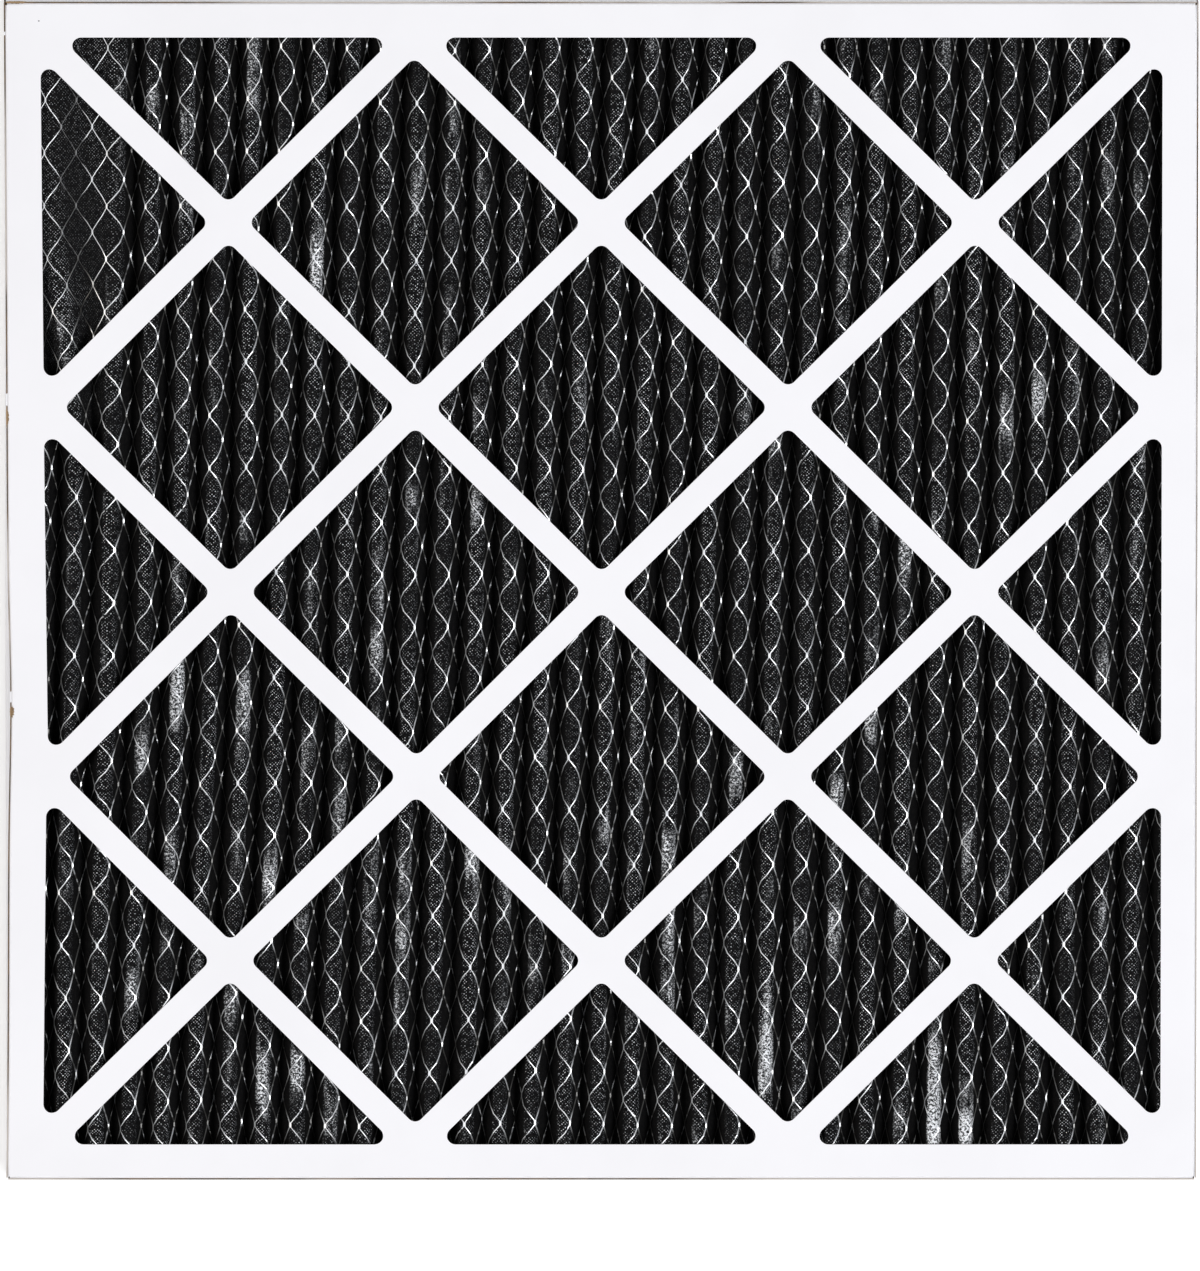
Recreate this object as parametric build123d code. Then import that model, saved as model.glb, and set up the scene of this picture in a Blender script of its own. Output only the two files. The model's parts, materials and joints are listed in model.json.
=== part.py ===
"""Pleated panel air filter for a one-inch filter slot.

Two die-cut board trays telescope into each other and clamp a pleated pack:
a corrugated sheet of filter media with a net of expanded metal laid over it.
A bead of hot-melt glue seals each edge of the pack to the trays.

Millimetres.  The panel lies on its rear face at z = 0, with the side that
carries the net and lets the air out on top.  The pleats run along Y.
"""
from build123d import *
import math
import os

# ---- Driving sizes ---------------------------------------------------------

# Trays
face_side = 597.0           # outer width and height of the panel
panel_depth = 19.0          # over both board faces
board = 0.7                 # thickness of the tray board
fold_radius = 1.0           # outside radius of a folded board edge
rim_drop = 0.6              # the rear tray's cut edge ends this far below the face
tab_length = 22.0           # glue tab of the front tray, round each corner
tab_relief = 2.0            # the tab is this much shorter than its wall, each end

# Diamond openings
border = 18.0               # plain band between the panel's edge and the openings
bays = 3                    # diamonds across the face
strip_width = 14.0          # diagonal strip, measured square to its run
corner_radius = 4.3         # die-cut right-angled corners
acute_corner_radius = 3.5   # die-cut pointed corners, against the border

# Pack
bead_width = 1.5            # glue between the pack's edge and the tray wall
media_thickness = 2.4
pleat_pitch = 16.65
pleat_radius = 2.0          # bend at crest and valley, on the media's mid-line
pleat_lean = 1.0            # degrees, pack laid in slightly askew
crest_press = 0.2           # crests and valleys are pressed flat on the boards

# Expanded-metal net
wire_thickness = 0.3
strand_width = 0.75
mesh_length = 26.5          # long way of one diamond of the net, along the pleats
strand_sway = 0.6           # side-to-side swing of a strand on its crest
kink_ratio = 1.5            # modelled kinks of a strand, in mesh lengths

# Flats that stand for a round corner or bend, which keeps repeated faces few
corner_flat_count = 3
tight_flat_count = 2
wide_flat_count = 5

# ---- Derived sizes ---------------------------------------------------------

inner_side = face_side - 2 * board                  # front tray, inside the rear one
well_side = inner_side - 2 * board                  # clear space inside both trays
pack_side = well_side - 2 * bead_width
half_bay = (face_side - 2 * border) / bays / 2      # opening to crossing
diamond_reach = half_bay - strip_width / math.sqrt(2)

front_board_under = panel_depth - board
media_top = front_board_under - wire_thickness
media_mid = (media_top + board) / 2
crest_radius = pleat_radius + media_thickness / 2
hollow_radius = pleat_radius - media_thickness / 2

# Slope of the pleat walls, so that tangent bends of pleat_radius just span the
# depth between the boards plus what is pressed flat.
half_pitch = pleat_pitch / 2
fold_height = media_top - board + 2 * crest_press - media_thickness
straight_height = fold_height - 2 * pleat_radius
wall_reach = math.hypot(half_pitch, straight_height)
wall_angle = (                                      # from upright
    math.acos(2 * pleat_radius / wall_reach)
    - math.atan2(straight_height, half_pitch)
)


def ease(before, corner, after, radius, flats):
    """Points along the arc that rounds one corner of an outline."""
    corner = Vector(*corner)
    way_back = (Vector(*before) - corner).normalized()
    way_on = (Vector(*after) - corner).normalized()
    opening_angle = math.radians(way_back.get_angle(way_on))
    centre = corner + (way_back + way_on).normalized() * (
        radius / math.sin(opening_angle / 2)
    )
    start = corner + way_back * (radius / math.tan(opening_angle / 2)) - centre
    turn = 180 - math.degrees(opening_angle)
    if way_back.cross(way_on).Z > 0:
        turn = -turn
    return [
        centre + start.rotate(Axis.Z, turn * step / flats)
        for step in range(flats + 1)
    ]


# ---- Die-cut trays ---------------------------------------------------------

def opening(column, row):
    """One die-cut opening: a diamond, or half of one against the border."""
    corners = []
    for way_x, way_y in ((1, 0), (0, 1), (-1, 0), (0, -1)):
        if abs(column + way_x) <= bays and abs(row + way_y) <= bays:
            x = column * half_bay + way_x * diamond_reach
            y = row * half_bay + way_y * diamond_reach
            on_border = bays in (abs(column + way_x), abs(row + way_y))
            on_border = on_border and bays in (abs(column), abs(row))
            radius = acute_corner_radius if on_border else corner_radius
            corners.append((x, y, radius))
    outline = []
    for index, (x, y, radius) in enumerate(corners):
        before = corners[index - 1][:2]
        after = corners[(index + 1) % len(corners)][:2]
        outline += ease(before, (x, y), after, radius, corner_flat_count)
    return make_face(Polyline(*outline, close=True))


def diamond_openings():
    """All openings: their centres alternate with the strips' crossings."""
    places = range(-bays, bays + 1)
    return [
        opening(column, row)
        for column in places
        for row in places
        if (column + row) % 2 == 1
    ]


def channel(width, height, length):
    """Board folded up along two sides, running along Y."""
    outside = Pos(0, height / 2) * Rectangle(width, height)
    outside = fillet(outside.vertices().group_by(Axis.Y)[0], fold_radius)
    hollow = Pos(0, board + height / 2) * Rectangle(width - 2 * board, height)
    hollow = fillet(hollow.vertices().group_by(Axis.Y)[0], fold_radius - board)
    return extrude(Plane.XZ * (outside - hollow), length / 2, both=True)


def tray(side, height):
    """Square tray, face down.  The blank is notched where two folds meet."""
    length = side - 2 * fold_radius
    lengthwise = channel(side, height, length)
    folded = lengthwise + Rot(0, 0, 90) * lengthwise
    cutter = extrude(Sketch() + diamond_openings(), board)
    return folded - cutter


def corner_tab(side, height):
    """Tab of the +X wall, turned at the corner to lie inside the +Y wall."""
    tab_height = height - fold_radius - 2 * tab_relief
    lap = Box(
        tab_length, board, tab_height,
        align=(Align.MAX, Align.MAX, Align.MIN),
    )
    return Pos(side / 2, side / 2 - board, fold_radius + tab_relief) * lap


front_height = panel_depth - fold_radius
front_tray = tray(inner_side, front_height)
for turn_x in (0, 180):
    for mirrored in (False, True):
        tab = corner_tab(inner_side, front_height)
        if mirrored:
            tab = mirror(tab, about=Plane.XZ)
        front_tray += Rot(0, 0, turn_x) * tab
front_frame = Pos(0, 0, panel_depth) * Rot(180, 0, 0) * front_tray

rear_frame = tray(face_side, panel_depth - rim_drop)


# ---- Pleated pack ----------------------------------------------------------

pleats_each_side = math.ceil(pack_side / pleat_pitch / 2) + 1
run_length = pack_side * 1.1                        # long enough to be trimmed askew

pack_space = Pos(0, 0, board) * Box(
    pack_side, pack_side, front_board_under - board,
    align=(Align.CENTER, Align.CENTER, Align.MIN),
)
media_space = Pos(0, 0, board) * Box(
    pack_side, pack_side, media_top - board,
    align=(Align.CENTER, Align.CENTER, Align.MIN),
)


def pleat_line(lift, crest_bend, crest_flats, valley_bend, valley_flats):
    """Zigzag with rounded bends, raised or lowered from the media's mid-line."""
    swing = half_pitch / math.tan(wall_angle) / 2
    steps = range(-2 * pleats_each_side - 1, 2 * pleats_each_side + 2)
    zigzag = [
        (step * half_pitch, media_mid + lift + (swing if step % 2 == 0 else -swing))
        for step in steps
    ]
    line = [zigzag[0]]
    for index in range(1, len(zigzag) - 1):
        bend, flats = valley_bend, valley_flats
        if steps[index] % 2 == 0:
            bend, flats = crest_bend, crest_flats
        line += ease(*zigzag[index - 1:index + 2], bend, flats)
    return line + [zigzag[-1]]


surface_lift = media_thickness / 2 / math.sin(wall_angle)
upper_line = pleat_line(
    surface_lift, crest_radius, wide_flat_count, hollow_radius, tight_flat_count
)
lower_line = pleat_line(
    -surface_lift, hollow_radius, tight_flat_count, crest_radius, wide_flat_count
)
media_section = make_face(Polyline(*upper_line, *reversed(lower_line), close=True))
corrugation = extrude(Plane.XZ * media_section, run_length / 2, both=True)
pleated_media = (Rot(0, 0, -pleat_lean) * corrugation) & media_space


# ---- Expanded-metal net: the strands that run along the crests --------------

def crest_strand(crest):
    """Flat strand on one crest, swaying from side to side between its bonds."""
    kink_pitch = kink_ratio * mesh_length
    kinks = math.ceil(run_length / kink_pitch / 2)
    left = []
    right = []
    for kink in range(-kinks, kinks + 1):
        sway = strand_sway if (kink + crest) % 2 == 0 else -strand_sway
        middle = crest * pleat_pitch + sway
        left.append((middle - strand_width / 2, kink * kink_pitch))
        right.append((middle + strand_width / 2, kink * kink_pitch))
    outline = make_face(Polyline(*left, *reversed(right), close=True))
    return extrude(Pos(0, 0, media_top) * outline, wire_thickness)


strands = []
for crest in range(-pleats_each_side, pleats_each_side + 1):
    leaning = Rot(0, 0, -pleat_lean) * crest_strand(crest)
    trimmed = leaning & pack_space
    if trimmed:
        strands += trimmed.solids()
wire_backing = Compound(strands)


# ---- Glue beads round the pack ---------------------------------------------

bead_height = front_board_under - board
bead_offset = (pack_side + bead_width) / 2
end_bead = Pos(0, bead_offset, board) * Box(
    well_side, bead_width, bead_height,
    align=(Align.CENTER, Align.CENTER, Align.MIN),
)
side_bead = Pos(bead_offset, 0, board) * Box(
    bead_width, pack_side, bead_height,
    align=(Align.CENTER, Align.CENTER, Align.MIN),
)
glue_beads = {
    "glue_bead_top": end_bead - front_frame,
    "glue_bead_bottom": Rot(0, 0, 180) * end_bead - front_frame,
    "glue_bead_right": side_bead - front_frame,
    "glue_bead_left": Rot(0, 0, 180) * side_bead - front_frame,
}


# ---- Write one STEP file per piece -----------------------------------------

os.makedirs("parts", exist_ok=True)
pieces = {
    "front_frame": front_frame,
    "rear_frame": rear_frame,
    "pleated_media": pleated_media,
    "wire_backing": wire_backing,
    **glue_beads,
}
for name, shape in pieces.items():
    export_step(shape, f"parts/{name}.step")
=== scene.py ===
"""Dressed model of a pleated panel air filter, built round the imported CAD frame."""

import json
import math

import bmesh
import bpy
import numpy as np
from mathutils import Matrix, Vector

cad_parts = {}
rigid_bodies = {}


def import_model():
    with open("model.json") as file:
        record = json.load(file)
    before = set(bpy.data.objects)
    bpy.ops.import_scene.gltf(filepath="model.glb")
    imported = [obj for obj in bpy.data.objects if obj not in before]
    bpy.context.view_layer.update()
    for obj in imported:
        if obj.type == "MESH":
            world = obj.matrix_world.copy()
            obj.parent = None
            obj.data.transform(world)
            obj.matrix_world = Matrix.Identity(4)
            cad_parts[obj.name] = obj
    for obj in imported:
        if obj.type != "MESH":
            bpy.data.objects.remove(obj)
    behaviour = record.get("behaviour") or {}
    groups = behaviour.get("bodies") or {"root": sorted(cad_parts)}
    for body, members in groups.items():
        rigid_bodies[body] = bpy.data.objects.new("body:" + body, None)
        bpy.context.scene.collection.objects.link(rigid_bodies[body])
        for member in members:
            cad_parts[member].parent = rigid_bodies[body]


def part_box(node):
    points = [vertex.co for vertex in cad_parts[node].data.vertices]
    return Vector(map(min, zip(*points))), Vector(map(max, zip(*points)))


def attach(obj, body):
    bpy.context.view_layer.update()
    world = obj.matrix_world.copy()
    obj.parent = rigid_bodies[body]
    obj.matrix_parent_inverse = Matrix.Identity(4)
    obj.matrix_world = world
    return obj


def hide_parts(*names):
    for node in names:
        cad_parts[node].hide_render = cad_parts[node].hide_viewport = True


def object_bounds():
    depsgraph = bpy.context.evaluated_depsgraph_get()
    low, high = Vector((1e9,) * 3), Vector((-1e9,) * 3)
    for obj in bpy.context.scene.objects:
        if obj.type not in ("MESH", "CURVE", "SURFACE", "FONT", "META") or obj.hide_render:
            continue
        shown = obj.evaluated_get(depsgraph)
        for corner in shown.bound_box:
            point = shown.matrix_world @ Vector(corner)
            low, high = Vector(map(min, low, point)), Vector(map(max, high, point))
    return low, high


# Blender's own cube, lamp and camera are in the way of the frame
for leftover in list(bpy.data.objects):
    bpy.data.objects.remove(leftover)
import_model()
cad_low, cad_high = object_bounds()

# ---------------------------------------------------------------------------
# Rear tray: clay-coated paperboard, die-cut with diamond openings and folded
# up on four sides.  Its walls stand outside the front tray's, so their cut
# edges draw a thin brown line all round the face.
# ---------------------------------------------------------------------------

BOARD_THICKNESS = 0.0007
FOLD_RADIUS = 0.0010
FOLD_STEPS = 4
SIDE_STRETCHES = 48             # parts that one side is cut into, so it can bow

BORDER = 0.018                  # plain band between the outer edge and the openings
BAYS = 3
STRIP_WIDTH = 0.014
CORNER_RADIUS = 0.0043          # in the right-angled corners of the openings
POINTED_RADIUS = 0.0043         # in the 45 degree points along the border
CORNER_STEPS, BLUNT_STEPS = 7, 4
TOUCH = 1e-6                    # points nearer than this are at one place
WAYS = ((1, 0), (0, 1), (-1, 0), (0, -1))
WALL_STRETCHES = 2

OUTER_SIDE = cad_high.x - cad_low.x
REAR_WALL_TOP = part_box("rear_frame")[1].z
WINDOW = OUTER_SIDE / 2 - BORDER
HALF_BAY = WINDOW / BAYS
DIAMOND_REACH = HALF_BAY - STRIP_WIDTH / math.sqrt(2)

# Handling has pulled the left border in: a long shallow bow, more of it below
# the middle, with one dent.  The fold has held out a little, and the pull dies
# out over the openings.
BOW_DEPTH = 0.0019
BOW_SKEW = 0.35                 # how much more of the bow lies below the middle
BOW_FULLNESS = 2.6              # 2 is a plain arc, and more is flatter in the middle
DENT_DEPTH = 0.00145
DENT_PLACE = -0.0555
DENT_REACH = 0.0506
PULL_END, PULL_FADE = 0.05, 1.4  # x where it has died out, and how soon it does
FOLD_HELD = 0.0008
FOLD_WIDTH = 0.0115             # from the openings out to where the fold holds fully
GRIP_WIDTH = 0.006              # the same for what lies inside the tray

CLAY_WHITE = (0.915, 0.903, 0.932, 1)
CLAY_SHADED = (0.892, 0.880, 0.908, 1)
KRAFT = (0.36, 0.235, 0.125, 1)
KRAFT_DARK = (0.19, 0.125, 0.075, 1)
CUT_GREY = (0.115, 0.092, 0.072, 1)
CUT_PALE = (0.55, 0.50, 0.46, 1)
SPECK_GREY = (0.30, 0.30, 0.31, 1)


def squeeze(points):
    """Pull the left border, and what stands against it, in towards the middle."""
    x, y, z = points.T
    along = y / (OUTER_SIDE / 2)
    belly = np.clip(1 - np.abs(along) ** BOW_FULLNESS, 0, 1)
    pull = BOW_DEPTH * belly * (1 - BOW_SKEW * along)
    pull += DENT_DEPTH * np.exp(-((y - DENT_PLACE) / DENT_REACH) ** 2)
    over_openings = np.clip((PULL_END - x) / (PULL_END + WINDOW), 0, 1) ** PULL_FADE
    at_fold = np.clip((-WINDOW - x) / FOLD_WIDTH, 0, 1)
    moved = pull * over_openings - FOLD_HELD * belly * at_fold
    points[:, 0] += moved * np.clip(z / cad_high.z, 0, 1) ** 2
    return points


def squeeze_ends(points):
    """The same pull on what lies inside the tray: it only reaches the border."""
    near = np.clip((-WINDOW - points[:, 0]) / GRIP_WIDTH, 0, 1)[:, None]
    return points + (squeeze(points.copy()) - points) * near


def read_points(mesh):
    """All points of a mesh, as an N by 3 array."""
    points = np.empty(len(mesh.vertices) * 3)
    mesh.vertices.foreach_get("co", points)
    return points.reshape(-1, 3)


def move_points(mesh, change):
    """Run all points of a mesh through a function, as read_points gives them."""
    points = change(read_points(mesh))
    mesh.vertices.foreach_set("co", np.ascontiguousarray(points).ravel())
    mesh.update()


def finished_piece(bm, name, materials):
    """Turn a bmesh into a shown object with its materials."""
    mesh = bpy.data.meshes.new(name)
    bm.to_mesh(mesh)
    bm.free()
    for material in materials:
        mesh.materials.append(material)
    piece = bpy.data.objects.new(name, mesh)
    bpy.context.scene.collection.objects.link(piece)
    return piece


def shade_smooth(mesh, angle):
    """Smooth faces, with a hard edge wherever the surface turns by more."""
    mesh.polygons.foreach_set("use_smooth", [True] * len(mesh.polygons))
    mesh.set_sharp_from_angle(angle=angle)


def shade_folds(mesh, flat_enough=0.985):
    """Smooth only the rounded folds, and leave the flat board flat."""
    for face in mesh.polygons:
        face.use_smooth = max(abs(part) for part in face.normal) < flat_enough


def cut_opening(bm, column, row, height):
    """Outline of one opening: a diamond, or half of one against the border."""
    corners, pointed = [], []
    for way_x, way_y in WAYS:
        if abs(column + way_x) > BAYS or abs(row + way_y) > BAYS:
            continue
        x = column * HALF_BAY + way_x * DIAMOND_REACH
        y = row * HALF_BAY + way_y * DIAMOND_REACH
        corner = bm.verts.new((x, y, height))
        corners.append(corner)
        if BAYS in (abs(column), abs(row)) and max(abs(x), abs(y)) > WINDOW - TOUCH:
            pointed.append(corner)
    bm.faces.new(corners)
    square = [corner for corner in corners if corner not in pointed]
    bmesh.ops.bevel(
        bm, geom=square, affect="VERTICES", offset=CORNER_RADIUS,
        segments=CORNER_STEPS, profile=0.5, material=-1,
    )
    if pointed:
        # cut the 45 degree points off square to their bisectors, then round the
        # two blunt 112.5 degree corners that each cut leaves, almost up to each other
        half_cut = POINTED_RADIUS / math.tan(math.radians(112.5 / 2))
        cut_back = half_cut / math.sin(math.radians(45 / 2))
        blunt = bmesh.ops.bevel(
            bm, geom=pointed, affect="VERTICES", offset=cut_back,
            segments=1, profile=0.5, material=-1,
        )["verts"]
        bmesh.ops.bevel(
            bm, geom=blunt, affect="VERTICES", offset=half_cut * 0.999,
            segments=BLUNT_STEPS, profile=0.5, material=-1,
        )


def folded_tray(side, face_height, wall_end):
    """Sheet of one tray: the die-cut face, with four walls folded to wall_end."""
    bm = bmesh.new()
    for column in range(-BAYS, BAYS + 1):
        for row in range(-BAYS, BAYS + 1):
            if (column + row) % 2 == 1:
                cut_opening(bm, column, row, face_height)
    bmesh.ops.delete(bm, geom=bm.faces[:], context="FACES_ONLY")

    reach = side / 2 - FOLD_RADIUS
    rim = [
        bm.verts.new((x * reach, y * reach, face_height))
        for x, y in ((1, 1), (-1, 1), (-1, -1), (1, -1))
    ]
    sides = [bm.edges.new((rim[turn - 1], rim[turn])) for turn in range(4)]
    bmesh.ops.subdivide_edges(bm, edges=sides, cuts=SIDE_STRETCHES - 1)
    bmesh.ops.triangle_fill(bm, use_beauty=True, edges=bm.edges[:])

    way = 1 if wall_end > face_height else -1
    wall_foot = face_height + way * FOLD_RADIUS
    for way_out in WAYS:
        out = Vector(way_out).to_3d()
        bend = [
            edge for edge in bm.edges
            if all(
                abs(v.co.dot(out) - reach) < TOUCH and abs(v.co.z - face_height) < TOUCH
                for v in edge.verts
            )
        ]
        bent = bmesh.ops.spin(
            bm, geom=bend, cent=out * reach + Vector((0, 0, wall_foot)),
            axis=Vector((0, 0, 1)).cross(out), angle=-way * math.pi / 2,
            steps=FOLD_STEPS, use_duplicate=False,
        )
        last = bent["geom_last"]
        for _ in range(WALL_STRETCHES):
            last = [g for g in last if isinstance(g, bmesh.types.BMEdge)]
            last = bmesh.ops.extrude_edge_only(bm, edges=last)["geom"]
            bmesh.ops.translate(
                bm, verts=[g for g in last if isinstance(g, bmesh.types.BMVert)],
                vec=(0, 0, (wall_end - wall_foot) / WALL_STRETCHES),
            )
    bmesh.ops.recalc_face_normals(bm, faces=bm.faces[:])
    on_face = next(
        face for face in bm.faces
        if abs(face.calc_center_median().z - face_height) < TOUCH
    )
    if on_face.normal.z * way > 0:
        bmesh.ops.reverse_faces(bm, faces=bm.faces[:])
    return bm


def make_board(bm, name):
    """Give a folded tray sheet its thickness: clay outside, kraft inside."""
    piece = finished_piece(bm, name, [clay_board, kraft_back, board_edge])
    move_points(piece.data, squeeze)
    board = piece.modifiers.new("board thickness", "SOLIDIFY")
    board.thickness = BOARD_THICKNESS
    board.offset = -1
    board.use_even_offset = True
    board.material_offset = 1
    board.material_offset_rim = 2
    shade_folds(piece.data)
    return piece


def new_material(name, metallic=0.0):
    """New material, with its node tree and its Principled shader."""
    material = bpy.data.materials.new(name)
    material.use_nodes = True
    tree = material.node_tree
    shader = tree.nodes["Principled BSDF"]
    shader.inputs["Metallic"].default_value = metallic
    return material, tree, shader


def add_node(tree, kind, inputs=(), **settings):
    """Add a node.  An input is a number or colour, or a socket to join to it."""
    node = tree.nodes.new(kind)
    for name, value in settings.items():
        setattr(node, name, value)
    for key, value in dict(inputs).items():
        if isinstance(value, bpy.types.NodeSocket):
            tree.links.new(value, node.inputs[key])
        else:
            node.inputs[key].default_value = value
    return node


def add_math(tree, operation, *values):
    """Math node of one to three values, and its output socket."""
    node = add_node(tree, "ShaderNodeMath", dict(enumerate(values)), operation=operation)
    return node.outputs[0]


def add_range(tree, value, low, high, to_low=0.0, to_high=1.0):
    """Value mapped smoothly from one range to another, and held there."""
    node = add_node(
        tree, "ShaderNodeMapRange",
        {"Value": value, "From Min": low, "From Max": high,
         "To Min": to_low, "To Max": to_high},
        interpolation_type="SMOOTHSTEP",
    )
    return node.outputs["Result"]


def add_noise(tree, place, scale, detail, roughness=0.5, distortion=0.0):
    """Noise between 0 and 1, around a half."""
    node = add_node(
        tree, "ShaderNodeTexNoise",
        {"Vector": place, "Scale": scale, "Detail": detail,
         "Roughness": roughness, "Distortion": distortion},
    )
    return node.outputs["Fac"]


def add_mix(tree, share, first, second):
    """Colour between two, by a share from 0 to 1."""
    node = add_node(tree, "ShaderNodeMix", data_type="RGBA")
    for socket, value in zip((node.inputs[0], node.inputs[6], node.inputs[7]),
                             (share, first, second)):
        if isinstance(value, bpy.types.NodeSocket):
            tree.links.new(value, socket)
        else:
            socket.default_value = value
    return node.outputs[2]


def paper_group():
    """Pressed paper: cloudy formation and short fibres, as masks and a height."""
    group = bpy.data.node_groups.new("paper formation", "ShaderNodeTree")
    group.interface.new_socket("Cloud Size", in_out="INPUT", socket_type="NodeSocketFloat")
    group.interface.new_socket("Fibre Size", in_out="INPUT", socket_type="NodeSocketFloat")
    for name in ("Clouds", "Fibres", "Height"):
        group.interface.new_socket(name, in_out="OUTPUT", socket_type="NodeSocketFloat")
    given = group.nodes.new("NodeGroupInput")
    place = add_node(group, "ShaderNodeTexCoord").outputs["Object"]
    clouds = add_noise(group, place, given.outputs["Cloud Size"], 4.0, 0.6)
    stretched = add_node(
        group, "ShaderNodeMapping",
        {"Vector": place, "Scale": (1.0, 3.2, 1.0), "Rotation": (0, 0, 0.6)},
    ).outputs["Vector"]
    fibres = add_noise(group, stretched, given.outputs["Fibre Size"], 6.0, 0.68, 0.6)
    height = add_math(group, "MULTIPLY", clouds, 0.3)
    height = add_math(group, "MULTIPLY_ADD", fibres, 0.7, height)
    result = group.nodes.new("NodeGroupOutput")
    for name, value in (("Clouds", clouds), ("Fibres", fibres), ("Height", height)):
        group.links.new(value, result.inputs[name])
    return group


paper_formation = paper_group()


SPOT_EDGE = (1.60, 1.35)        # where a spot fades in, in reaches from its centre


def wear_group():
    """Masks of the board's wear: where it is torn to its kraft, where clay still
    covers the cut edge beside that, and one speck."""
    group = bpy.data.node_groups.new("board wear", "ShaderNodeTree")
    place = add_node(group, "ShaderNodeTexCoord").outputs["Object"]
    ragged = add_noise(group, place, 900.0, 3.0)
    result = group.nodes.new("NodeGroupOutput")
    edge, top = -OUTER_SIDE / 2, cad_high.z
    # the centre and the reach of each spot
    spots = {
        "Torn": (((edge + 0.0006, 0.0885, top), (0.0015, 0.0050, 0.0030)),
                 ((edge + 0.0033, -0.0605, top), (0.0013, 0.0028, 0.0030)),
                 ((edge + 0.0058, -edge - 0.0001, top), (0.0055, 0.0009, 0.0030))),
        "Covered": (((edge + 0.0015, 0.0975, top), (0.0040, 0.0034, 0.0060)),
                    ((edge + 0.0035, -0.0535, top), (0.0040, 0.0028, 0.0060)),
                    ((edge + 0.0005, -edge - 0.0160, top), (0.0040, 0.0010, 0.0060))),
        "Speck": (((-0.2810, 0.2889, top), (0.0005, 0.0004, 0.0020)),),
    }
    for name, places in spots.items():
        group.interface.new_socket(name, in_out="OUTPUT", socket_type="NodeSocketFloat")
        mask = 0.0
        for centre, reach in places:
            away = add_node(group, "ShaderNodeVectorMath", {0: place, 1: centre},
                            operation="SUBTRACT").outputs[0]
            away = add_node(group, "ShaderNodeVectorMath", {0: away, 1: reach},
                            operation="DIVIDE").outputs[0]
            away = add_node(group, "ShaderNodeVectorMath", {0: away},
                            operation="LENGTH").outputs["Value"]
            spot = add_range(group, add_math(group, "ADD", away, ragged), *SPOT_EDGE)
            mask = add_math(group, "MAXIMUM", spot, mask)
        group.links.new(mask, result.inputs[name])
    return group


board_wear = wear_group()


def add_paper(tree, cloud_size, fibre_size):
    """Paper formation at the sizes that one kind of board has."""
    sizes = {"Cloud Size": cloud_size, "Fibre Size": fibre_size}
    return add_node(tree, "ShaderNodeGroup", sizes, node_tree=paper_formation).outputs


def add_bump(tree, shader, height, strength, distance):
    """Bump from a height, on the shader's normal."""
    bump = add_node(
        tree, "ShaderNodeBump",
        {"Height": height, "Strength": strength, "Distance": distance},
    )
    tree.links.new(bump.outputs["Normal"], shader.inputs["Normal"])


def clay_material():
    """White clay coat: smooth, faintly blue, cloudy only on a second look."""
    material, tree, shader = new_material("clay coated board")
    paper = add_paper(tree, 14.0, 900.0)
    clouds = add_range(tree, paper["Clouds"], 0.35, 0.7)
    colour = add_mix(tree, clouds, CLAY_WHITE, CLAY_SHADED)
    wear = add_node(tree, "ShaderNodeGroup", node_tree=board_wear).outputs
    fibres = add_mix(tree, add_range(tree, paper["Fibres"], 0.4, 0.6), KRAFT_DARK, KRAFT)
    colour = add_mix(tree, wear["Torn"], colour, fibres)
    colour = add_mix(tree, wear["Speck"], colour, SPECK_GREY)
    tree.links.new(colour, shader.inputs["Base Color"])
    tree.links.new(add_range(tree, paper["Fibres"], 0.3, 0.7, 0.52, 0.66),
                   shader.inputs["Roughness"])
    shader.inputs["Specular IOR Level"].default_value = 0.35
    add_bump(tree, shader, paper["Height"], 0.12, 0.0002)
    return material


def kraft_material():
    """Uncoated side of the board: brown kraft with long fibres."""
    material, tree, shader = new_material("kraft back")
    paper = add_paper(tree, 60.0, 700.0)
    colour = add_mix(tree, add_range(tree, paper["Fibres"], 0.35, 0.65), KRAFT_DARK, KRAFT)
    tree.links.new(colour, shader.inputs["Base Color"])
    shader.inputs["Roughness"].default_value = 0.85
    add_bump(tree, shader, paper["Height"], 0.5, 0.0003)
    return material


def edge_material():
    """Cut edge of the board: bare grey-brown fibres, kraft-bright where torn, and
    white where the clay still laps over it."""
    material, tree, shader = new_material("cut board edge")
    paper = add_paper(tree, 90.0, 1500.0)
    colour = add_mix(tree, add_range(tree, paper["Clouds"], 0.4, 0.62), CUT_GREY, KRAFT_DARK)
    # the edge is rubbed paler in long stretches, and is also painted paler towards the right,
    # as painted light from that side
    place = add_node(tree, "ShaderNodeTexCoord").outputs["Object"]
    rubbed_and_lit_side = add_noise(tree, place, 9.0, 4.0)
    across = add_node(tree, "ShaderNodeSeparateXYZ", {"Vector": place}).outputs["X"]
    rubbed_and_lit_side = add_math(tree, "MULTIPLY_ADD", across, 0.25, rubbed_and_lit_side)
    colour = add_mix(tree, add_range(tree, rubbed_and_lit_side, 0.42, 0.60), colour, CUT_PALE)
    wear = add_node(tree, "ShaderNodeGroup", node_tree=board_wear).outputs
    colour = add_mix(tree, wear["Torn"], colour, KRAFT)
    colour = add_mix(tree, wear["Covered"], colour, CLAY_SHADED)
    tree.links.new(colour, shader.inputs["Base Color"])
    shader.inputs["Roughness"].default_value = 0.9
    add_bump(tree, shader, paper["Height"], 0.6, 0.0003)
    return material


clay_board = clay_material()
kraft_back = kraft_material()
board_edge = edge_material()

rear_tray = make_board(folded_tray(OUTER_SIDE, cad_low.z, REAR_WALL_TOP), "rear_tray")
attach(rear_tray, "root")
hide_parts("rear_frame")

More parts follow.
